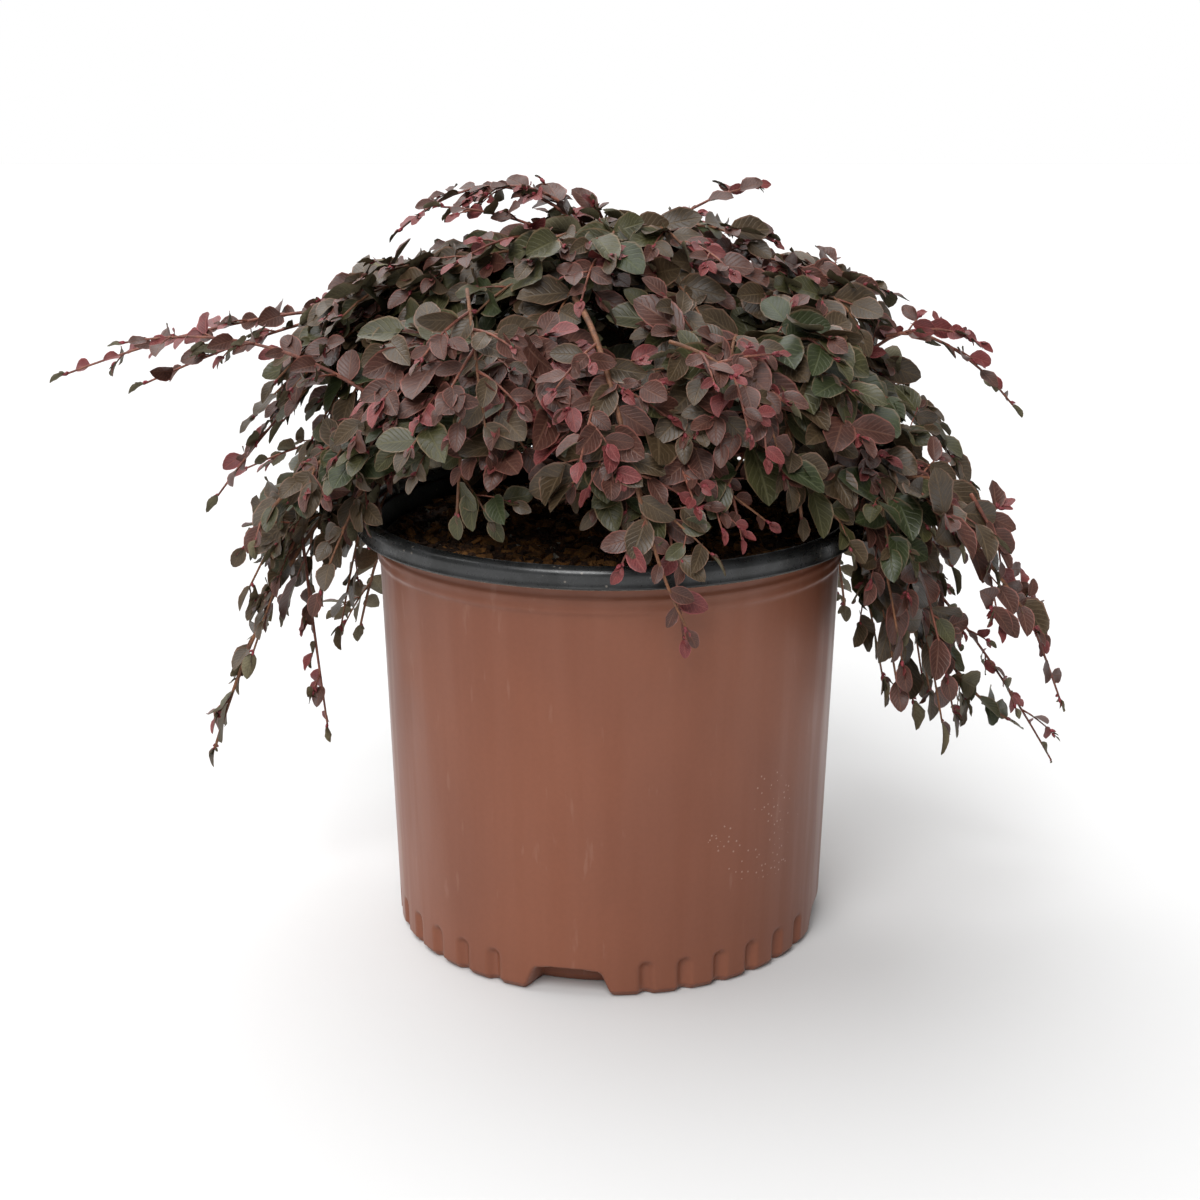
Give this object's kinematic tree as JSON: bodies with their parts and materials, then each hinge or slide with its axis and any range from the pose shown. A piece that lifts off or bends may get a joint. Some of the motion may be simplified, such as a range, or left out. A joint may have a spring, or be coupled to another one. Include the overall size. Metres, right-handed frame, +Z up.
{
  "type": "potted chinese fringe flower",
  "caption": "A weeping, purple-leaved Chinese fringe flower shrub, mounded over a brown nursery pot with a black rolled rim, its leafy shoots hanging past the rim on all sides.",
  "frame": {"origin": "The middle of the pot's flat underside.", "axes": "+Z up, along the pot's axis; the front of the plant, as pictured, faces -Y; +X is to the right seen from the front."},
  "size_m": [0.5831, 0.4156, 0.4213],
  "materials": {
    "pot_wall": "satin red-brown",
    "pot_rim": "satin black",
    "bark_mix": "rough, crumbly",
    "bark": "matte bark",
    "foliage": "satin leaf"
  },
  "bodies": {
    "root": {"pot": "pot_wall", "pot_rim": "pot_rim", "soil": "bark_mix", "trunk": "bark", "bough_front": "bark", "bough_front_right": "bark", "bough_right": "bark", "bough_back_right": "bark", "bough_back": "bark", "bough_back_left": "bark", "bough_left": "bark", "bough_front_left": "bark", "bough_leader": "bark", "bough_mid_front_right": "bark", "bough_mid_right": "bark", "bough_mid_back_right": "bark", "bough_mid_back": "bark", "bough_mid_back_left": "bark", "bough_mid_left": "bark", "bough_mid_front_left": "bark", "foliage_front": "foliage", "foliage_front_right": "foliage", "foliage_right": "foliage", "foliage_back_right": "foliage", "foliage_back": "foliage", "foliage_back_left": "foliage", "foliage_left": "foliage", "foliage_front_left": "foliage", "foliage_leader": "foliage", "foliage_mid_front_right": "foliage", "foliage_mid_right": "foliage", "foliage_mid_back_right": "foliage", "foliage_mid_back": "foliage", "foliage_mid_back_left": "foliage", "foliage_mid_left": "foliage", "foliage_mid_front_left": "foliage"}
  },
  "joints": []
}
